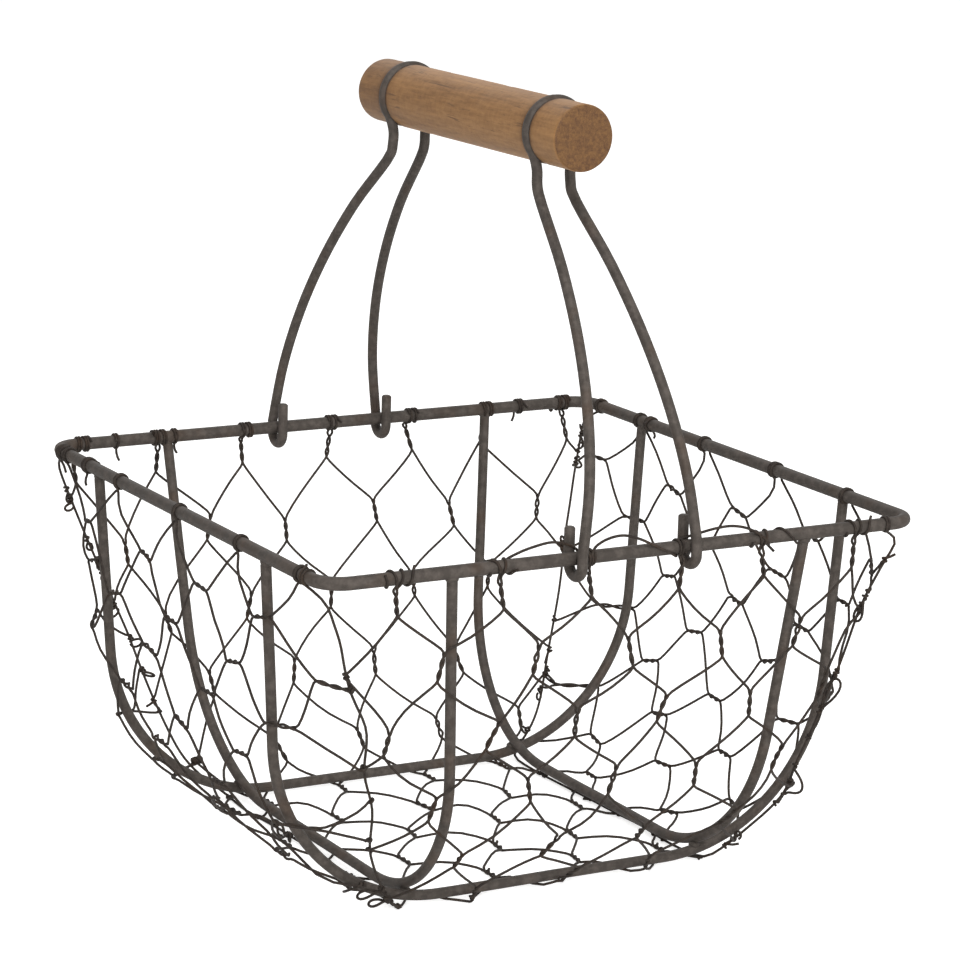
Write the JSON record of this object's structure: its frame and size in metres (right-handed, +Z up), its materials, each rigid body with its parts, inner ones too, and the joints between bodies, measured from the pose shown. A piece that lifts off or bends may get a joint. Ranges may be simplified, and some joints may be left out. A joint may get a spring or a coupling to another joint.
{
  "type": "wire storage basket",
  "caption": "Square wire basket with wire-netting walls and floor, bent wire ribs, and an upright carrying handle: hooked wire bails looped round a turned wooden grip.",
  "frame": {"origin": "on the table, under the middle of the rim", "axes": "+Z up; +Y from the front rim to the back rim, along the wooden grip; +X to the right as seen from the front"},
  "size_m": [0.227, 0.227, 0.2648],
  "materials": {
    "frame_wire": "aged dark lacquer, satin",
    "net_wire": "aged dark lacquer, matte",
    "grip_wood": "waxed, satin"
  },
  "bodies": {
    "basket": {"rim": "frame_wire", "rib_long_back": "frame_wire", "rib_long_front": "frame_wire", "rib_cross_left": "frame_wire", "rib_cross_right": "frame_wire", "net_front": "net_wire", "net_back": "net_wire", "net_left": "net_wire", "net_right": "net_wire", "net_bottom": "net_wire", "front_lacing_wire": "net_wire"},
    "handle": {"bail_back": "frame_wire", "bail_front": "frame_wire"},
    "grip": {"grip": "grip_wood"}
  },
  "joints": [
    {"name": "handle_lift", "type": "slide", "parent": "basket", "child": "handle", "axis": [0, 0, 1], "range_m": [0, 0.0016]},
    {"name": "grip_turn", "type": "hinge", "parent": "handle", "child": "grip", "pos_m": [0, 0, 0.25275], "axis": [0, 1, 0], "continuous": true}
  ]
}
